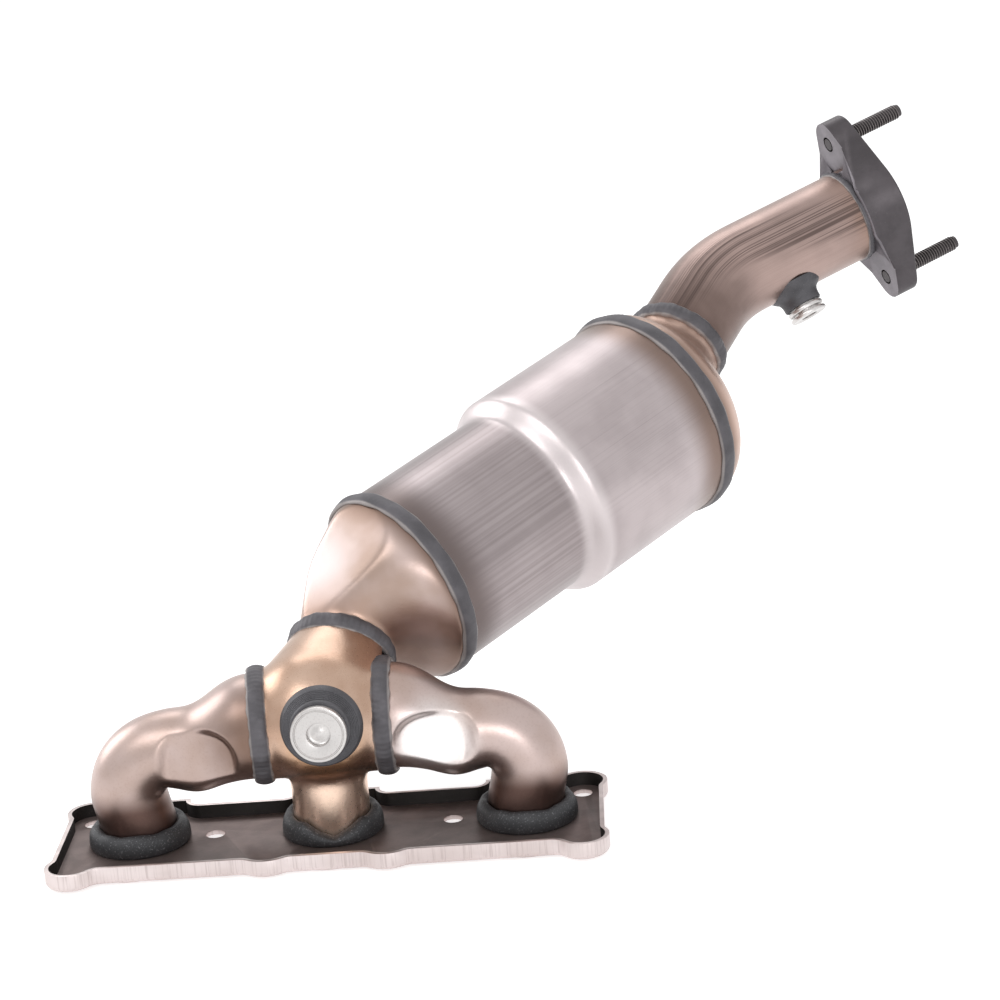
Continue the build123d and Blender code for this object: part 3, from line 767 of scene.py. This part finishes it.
def pipePoint(along):
    # place, way and inner side of the pipe's middle line at a distance along it, in mm
    turn = min(max(along - pipe["firstRun"], 0.0), bendLength) / pipe["bend"]
    way = pipeDirection * math.cos(turn) + inward * math.sin(turn)
    inner = inward * math.cos(turn) - pipeDirection * math.sin(turn)
    place = pipeStart + pipeDirection * (min(along, pipe["firstRun"]) + pipe["bend"] * math.sin(turn)) * mm
    place += inward * pipe["bend"] * (1 - math.cos(turn)) * mm
    place += way * max(0.0, along - pipe["firstRun"] - bendLength) * mm
    return place, way, inner


rings = []
for i in range(pipe["stations"] + 1):
    place, way, inner = pipePoint(between(0.2, pipeLength - pipe["inset"], i / pipe["stations"]))
    rings.append((place, turnedTo(way, bendAxis), pipe["radius"] * mm))
outletPipe = ringStack("outletPipe", rings)
giveWall(outletPipe, pipe["wall"])
# each point keeps where it lies round and along the pipe, for the lines
outletPipe.data.attributes.new("alongPipe", "FLOAT_VECTOR", "POINT")
outletPipe.data.attributes.new("bundle", "FLOAT", "POINT")
strip, bundle = (outletPipe.data.attributes[name] for name in ("alongPipe", "bundle"))
steps = [(along, *pipePoint(along)) for along in [pipeLength * i / 200 for i in range(201)]]
for v in outletPipe.data.vertices:
    along, place, way, inner = min(steps, key=lambda step: (v.co - step[1]).length_squared)
    away = v.co - place
    along += away.dot(way) / mm
    away = (away - way * away.dot(way)).normalized()
    strip.data[v.index].vector = (away.dot(bendAxis), away.dot(inner), along * 0.01)
    turned = math.degrees(math.atan2(away.dot(inner), away.dot(bendAxis))) % 360
    crest = lineBundle["angle"] - lineBundle["twist"] * (along - lineBundle["from"])
    bundle.data[v.index].value = smoothStep(1.6 - abs(turned - crest) / lineBundle["half"])
settle(outletPipe, "pipeSteel", "outlet_pipe")
print("outlet pipe made")

# weld beads; the last one runs round the back of the outlet flange
flangeShape = {"thick": 20.0, "bevel": 1.1, "front": 1.02, "back": 0.80, "bore": 26.0, "rim": 0.8,
               "holes": 5.0, "ears": 12.5, "hubFrom": 12.0, "hubTo": 28.0}
flangeCentre, flangeWay = pipePoint(pipeLength)[:2]
plateBack = flangeCentre - flangeWay * flangeShape["thick"] * mm
bead = {"ripple": 0.11, "lump": 0.18, "minorSteps": 20, "majorSteps": 256}
# node: name, place, direction, radius, width, rise and number of ripples
beads = {
    "left_runner_weld": ("leftRunnerWeld", leftNeck, leftNeckDirection, 25.6, 9.0, 2.0, 60),
    "right_runner_weld": ("rightRunnerWeld", rightNeck, rightNeckDirection, 25.6, 9.0, 2.0, 60),
    "collector_weld": ("collectorWeld", throatPlace, throatDirection, 24.1, 9.0, 2.0, 56),
    "inlet_cone_weld": ("inletConeWeld", casingStart, casingDirection, 47.6, 9.0, 2.0, 110),
    "outlet_cone_weld": ("outletConeWeld", casingEnd, casingDirection, 54.1, 9.0, 2.0, 124),
    "outlet_pipe_weld": ("outletPipeWeld", pipeStart, pipeDirection, 24.6, 9.0, 2.6, 56),
    "outlet_flange_weld": ("outletFlangeWeld", plateBack, flangeWay, 24.3, 4.0, 1.4, 56),
}


def weldBead(name, place, way, radius, width, rise, ripples):
    # a flattened ring with the small waves that a welding pass leaves
    half = width * mm / 2
    clearSelection()
    bpy.ops.mesh.primitive_torus_add(major_segments=bead["majorSteps"], minor_segments=bead["minorSteps"],
                                     major_radius=radius * mm, minor_radius=rise * mm)
    obj = named(name)
    bpy.ops.object.mode_set(mode="EDIT")
    bpy.ops.mesh.select_all(action="SELECT")
    bpy.ops.transform.resize(value=(1, 1, width / 2 / rise), center_override=(0, 0, 0))
    bpy.ops.object.mode_set(mode="OBJECT")
    for v in obj.data.vertices:
        around = math.atan2(v.co.y, v.co.x)
        outward = Vector((v.co.x, v.co.y, 0)).normalized()
        crown = max(0.0, (v.co.xy.length - radius * mm) / (rise * mm))
        wave = math.sin(around * ripples + 3.0 * (v.co.z / half) ** 2)
        lump = math.sin(around * 7 + 1.3) + math.sin(around * 11 + 4.0) + math.sin(around * 17)
        v.co += outward * crown * (bead["ripple"] * wave + bead["lump"] * lump) * mm
        v.co.z *= 1 + 0.05 * math.sin(around * 9 + 2) + 0.04 * math.sin(around * 23)
    across = obj.data.attributes.new("acrossBead", "FLOAT", "POINT")
    for v in obj.data.vertices:
        across.data[v.index].value = abs(v.co.z) / half
    putAt(obj, place, turnedTo(way))
    bpy.ops.object.shade_smooth()
    return obj


for node, values in beads.items():
    settle(weldBead(*values), "weldScale", node)
print("weld beads made")

# manifold tray
trayShape = {"bevel": 0.35, "floorTop": 4.5, "wallFoot": 2.6, "rimFoot": 8.5, "look": 4.0}
tray = copyOfNode("manifoldTray", "manifold_flange", trayShape["bevel"], 2)
settle(tray, "trayOutside", "manifold_flange")
for finish in ("trayInside", "trayEdge", "trayShade"):
    tray.data.materials.append(finishes[finish])
bpy.context.view_layer.update()
for face in tray.data.polygons:
    # a wall is an inner one when the tray's floor lies in front of it
    overFloor = tray.ray_cast(face.center + face.normal * trayShape["look"] * mm, (0, 0, -1))[0]
    heights = [tray.data.vertices[i].co.z / mm for i in face.vertices]
    if face.normal.z > 0.7 and max(heights) < trayShape["floorTop"]:
        face.material_index = 1
    elif abs(face.normal.z) < 0.5 and min(heights) > trayShape["wallFoot"] and overFloor:
        face.material_index = 3
    elif face.normal.z > 0.3 and min(heights) > trayShape["rimFoot"]:
        face.material_index = 2
print("tray made")

# port collars
collar = {"floor": 3.0, "lumpsFrom": 5.5, "lumpsOver": 7.5, "lump": 0.28, "sway": 0.15, "notch": 6.0,
          "notchTurn": 0.12, "notchWidth": 0.75}
collarLine = [(18.1, 0.05), (22.6, 0.05), (23.4, 0.4), (23.75, 1.2), (23.75, 3.2), (23.6, 5.0), (23.1, 7.0),
              (22.2, 8.7), (21.0, 9.7), (19.8, 10.0), (18.9, 9.8), (18.1, 9.2), (18.1, 0.05)]
for label, x in portPlaces.items():
    ring = turnedProfile(label + "Collar", (x, 0, collar["floor"] * mm), Matrix.Identity(3), collarLine,
                         steps=128)
    for v in ring.data.vertices:
        around = math.atan2(v.co.y, v.co.x - x)
        high = max(0.0, (v.co.z / mm - collar["lumpsFrom"]) / collar["lumpsOver"])
        lump = math.sin(around * 5 + x * 40) + math.sin(around * 9 + 2) * 0.7 + math.sin(around * 14) * 0.4
        v.co.z += high * lump * collar["lump"] * mm
        v.co.x += math.cos(around) * high * math.sin(around * 7 + x * 30) * collar["sway"] * mm
        if label == "centre":
            # the weld runs down at the front of the leg
            front = max(0.0, 1 - abs(around + math.pi / 2 - collar["notchTurn"]) / collar["notchWidth"])
            v.co.z -= high * front * collar["notch"] * mm
    ring.data.update()
    settle(ring, "collarScale", label + "_port_collar")
print("collars made")

# outlet flange
stud = {"radius": 4.0, "root": 3.3, "pitch": 1.5, "reach": 34.0, "spacing": 78.0, "roll": 103.8,
        "ear": 12.5, "crestFrom": 0.96}
# one pitch of thread: how much of its depth and of its pitch is reached
threadLine = [(0, 0), (0, 0.12), (1, 0.45), (1, 0.62), (0, 1)]
studWay = acrossOf(flangeWay, stud["roll"])
flatWay = flangeWay.cross(studWay)
plate = copyOfNode("outletFlange", "outlet_flange", flangeShape["bevel"], 4)
for v in plate.data.vertices:
    # the forged sides are drafted: narrower at the pipe than at the mating face
    away = (v.co - flangeCentre) / mm
    depth = min(1.0, max(0.0, -away.dot(flangeWay) / flangeShape["thick"]))
    out, along = away.dot(flatWay), away.dot(studWay)
    middleDistance = math.hypot(out, along)
    holeDistance = math.hypot(out, abs(along) - stud["spacing"] / 2)
    if middleDistance > flangeShape["bore"] and holeDistance > flangeShape["holes"]:
        v.co += flatWay * out * (between(flangeShape["front"], flangeShape["back"], depth) - 1) * mm
    # the hub slopes down to the ears
    above = depth * flangeShape["thick"] - flangeShape["ears"]
    if above > 0 and middleDistance > flangeShape["bore"] - flangeShape["rim"]:
        share = (abs(along) - flangeShape["hubFrom"]) / (flangeShape["hubTo"] - flangeShape["hubFrom"])
        v.co += flangeWay * above * smoothStep(share) * mm
plate.data.update()
settle(plate, "flangeScale", "outlet_flange")
plate.data.materials.append(finishes["flangeBack"])
for face in plate.data.polygons:
    if face.normal.dot(flangeWay) < -0.5:
        face.material_index = 1


def threadedStud(name, place):
    # one pitch of thread is screwed up along the stud, then capped
    root, crest, pitch = stud["root"] * mm, stud["radius"] * mm, stud["pitch"] * mm
    obj = profileLine(name, [(between(root, crest, out), up * pitch) for out, up in threadLine])
    bpy.ops.object.mode_set(mode="OBJECT")
    turns = int(stud["reach"] / stud["pitch"]) - 1
    finishWith(obj, "SCREW", axis="Z", screw_offset=pitch, iterations=turns, steps=40, render_steps=40,
               use_merge_vertices=True, merge_threshold=0.00001)
    for v in obj.data.vertices:
        # the last turn runs out into a chamfered end
        over = (v.co.z - (turns - 0.6) * pitch) / (1.6 * pitch)
        if over > 0:
            v.co.xy *= min(1.0, crest * (1.03 - 0.22 * over) / v.co.xy.length)
    top, bottom = (turns + 1.2) * pitch, stud["ear"] * mm
    bpy.ops.mesh.primitive_cylinder_add(vertices=40, radius=root, depth=top + bottom,
                                        location=(0, 0, (top - bottom) / 2))
    core = bpy.context.object
    onlyThis(core)
    bpy.ops.object.transform_apply(location=True, rotation=True, scale=True)
    obj.select_set(True)
    bpy.context.view_layer.objects.active = obj
    bpy.ops.object.join()
    putAt(obj, place, turnedTo(flangeWay))
    smoothUnder(obj, 25)
    return obj


for label, side in (("Upper", 1), ("Lower", -1)):
    foot = flangeCentre + studWay * side * stud["spacing"] / 2 * mm
    screw = threadedStud("stud" + label, foot)
    settle(screw, "studScale", "flange_studs")
    screw.data.materials.append(finishes["studCrest"])
    for face in screw.data.polygons:
        outs = [(screw.data.vertices[i].co - foot).cross(flangeWay).length for i in face.vertices]
        if min(outs) > stud["crestFrom"] * stud["radius"] * mm:
            face.material_index = 1
print("flange made")

# sensor bosses and plugs: lines of (radius, height) over the place that they stand on
sensor = {"frontX": 2.5, "frontRise": 5.2, "frontElevation": 5.0, "rearAlong": 18.0, "rearRoll": -60.0}
frontPlace = collectorCentre + Vector((sensor["frontX"], 0, sensor["frontRise"])) * mm
frontAxes = turnedTo(unitVector(-90, sensor["frontElevation"]), (1, 0, 0))
rearPlace = pipePoint(pipeLength - pipe["lastRun"] + sensor["rearAlong"])[0]
rearAxes = turnedTo(acrossOf(flangeWay, sensor["rearRoll"]), flangeWay)
frontBossLine = [
    (8.0, 30.0), (19.0, 30.0), (18.4, 32.4), (17.6, 33.6), (17.2, 33.6), (17.0, 34.2), (16.6, 34.2),
    (16.4, 34.9), (16.0, 34.9), (15.8, 35.6), (15.4, 35.6), (15.2, 36.4), (14.8, 36.4), (14.6, 37.3),
    (14.2, 37.3), (14.0, 38.6), (13.6, 39.3), (12.9, 39.5), (8.0, 39.5), (8.0, 30.0)]
frontPlugLine = [
    (0.0, 33.0), (7.9, 33.0), (7.9, 39.4), (6.5, 39.5), (6.5, 41.4), (12.0, 41.5), (12.6, 41.8),
    (12.8, 42.3), (12.8, 45.2), (12.6, 45.8), (12.1, 46.0), (11.5, 46.0), (11.2, 45.6), (10.9, 45.6),
    (10.6, 45.9), (6.0, 45.9), (5.5, 45.7), (5.3, 45.2), (5.2, 42.6), (4.6, 42.1), (3.4, 42.0),
    (1.8, 42.5), (0.0, 42.8)]
rearBossLine = [
    (8.0, 20.0), (15.5, 20.0), (14.6, 23.6), (13.0, 25.2), (11.4, 26.4), (10.7, 27.8), (10.4, 29.6),
    (10.4, 31.8), (10.0, 32.5), (8.0, 32.5), (8.0, 20.0)]
rearPlugLine = [
    (0.0, 25.0), (7.9, 25.0), (7.9, 32.4), (7.4, 32.6), (7.4, 33.4), (9.6, 33.6), (10.0, 34.1),
    (10.0, 35.2), (9.6, 35.7), (7.2, 35.8), (7.2, 36.9), (9.8, 37.0), (10.2, 37.5), (10.2, 38.5),
    (9.8, 39.0), (4.8, 39.0), (4.4, 38.7), (4.4, 36.2), (0.0, 36.0)]
for label, place, axes, bossLine, plugLine in (
        ("front", frontPlace, frontAxes, frontBossLine, frontPlugLine),
        ("rear", rearPlace, rearAxes, rearBossLine, rearPlugLine)):
    boss = turnedProfile(label + "SensorBoss", place, axes, bossLine)
    settle(boss, "bossScale", label + "_sensor_boss")
    plug = turnedProfile(label + "SensorPlug", place, axes, plugLine)
    settle(plug, "plugSteel", label + "_sensor_plug")
print("bosses and plugs made")

# studio
studio = {"middle": (0.1, 0.12, 0.12), "floor": 80.0, "floorTone": 0.86, "floorGlow": 0.55, "ambient": 0.6}
panels = {
    "keyPanel": {"way": (-0.45, -0.55, 0.75), "away": 2.0, "size": (1.2, 0.9), "power": 7.5},
    "leftPanel": {"way": (-0.87, 0.38, 0.36), "away": 1.6, "size": (0.7, 0.9), "power": 6.0},
    "frontPanel": {"way": (0.26, -0.92, 0.24), "away": 2.2, "size": (0.8, 0.5), "power": 7.0},
    "backPanel": {"way": (-0.1, 0.72, 0.80), "away": 2.0, "size": (1.6, 0.7), "power": 7.0},
}
middle = Vector(studio["middle"])
for name, panel in panels.items():
    place = middle + Vector(panel["way"]).normalized() * panel["away"]
    bpy.ops.object.light_add(type="AREA", location=place)
    lamp = bpy.context.object
    lamp.name = name
    lamp.data.shape = "RECTANGLE"
    lamp.data.size, lamp.data.size_y = panel["size"]
    lamp.data.energy = panel["power"]
    lamp.rotation_euler = (middle - place).to_track_quat("-Z", "Y").to_euler()


def seenRay(tree):
    # 1 for what the camera sees, also in a reflection
    path = tree.nodes.new("ShaderNodeLightPath")
    return mathNode(tree, "MAXIMUM", path.outputs["Is Camera Ray"], path.outputs["Is Glossy Ray"])


clearSelection()
bpy.ops.mesh.primitive_plane_add(size=studio["floor"], location=(0, 0, 0))
floor = named("floor")
floorPaint = bpy.data.materials.new("floorPaint")
floorPaint.use_nodes = True
tree = floorPaint.node_tree
tree.nodes.clear()
diffuse = addNode(tree, "ShaderNodeBsdfDiffuse", in_0=(*[studio["floorTone"]] * 3, 1))
glow = addNode(tree, "ShaderNodeEmission", in_0=(1, 1, 1, 1))
tree.links.new(mathNode(tree, "MULTIPLY", seenRay(tree), studio["floorGlow"]), glow.inputs[1])
both = addNode(tree, "ShaderNodeAddShader")
tree.links.new(diffuse.outputs[0], both.inputs[0])
tree.links.new(glow.outputs[0], both.inputs[1])
tree.links.new(both.outputs[0], addNode(tree, "ShaderNodeOutputMaterial").inputs[0])
floor.data.materials.append(floorPaint)

world = bpy.data.worlds.new("studioWorld")
bpy.context.scene.world = world
world.use_nodes = True
tree = world.node_tree
tree.nodes.clear()
plain = addNode(tree, "ShaderNodeBackground", in_0=(1, 1, 1, 1), in_1=studio["ambient"])
white = addNode(tree, "ShaderNodeBackground", in_0=(1, 1, 1, 1), in_1=1.0)
choose = addNode(tree, "ShaderNodeMixShader")
tree.links.new(seenRay(tree), choose.inputs[0])
tree.links.new(plain.outputs[0], choose.inputs[1])
tree.links.new(white.outputs[0], choose.inputs[2])
tree.links.new(choose.outputs[0], addNode(tree, "ShaderNodeOutputWorld").inputs[0])

# camera
cameraSetup = {"lens": 101.95, "place": (0.1434, -1.2294, 0.5078), "pitch": 15.92, "yaw": -2.49,
               "roll": -4.62}
pitch, yaw, roll = (math.radians(cameraSetup[key]) for key in ("pitch", "yaw", "roll"))
ahead = Vector((math.sin(yaw) * math.cos(pitch), math.cos(yaw) * math.cos(pitch), -math.sin(pitch)))
level = Vector((math.cos(yaw), -math.sin(yaw), 0))
upright = level.cross(ahead)
across = level * math.cos(roll) + upright * math.sin(roll)
upward = upright * math.cos(roll) - level * math.sin(roll)
bpy.ops.object.camera_add(location=cameraSetup["place"])
camera = bpy.context.object
camera.data.lens = cameraSetup["lens"]
camera.data.sensor_width = 36
camera.data.clip_start = 0.05
camera.rotation_euler = Matrix((across, upward, -ahead)).transposed().to_euler()
bpy.context.scene.camera = camera
print("studio ready")
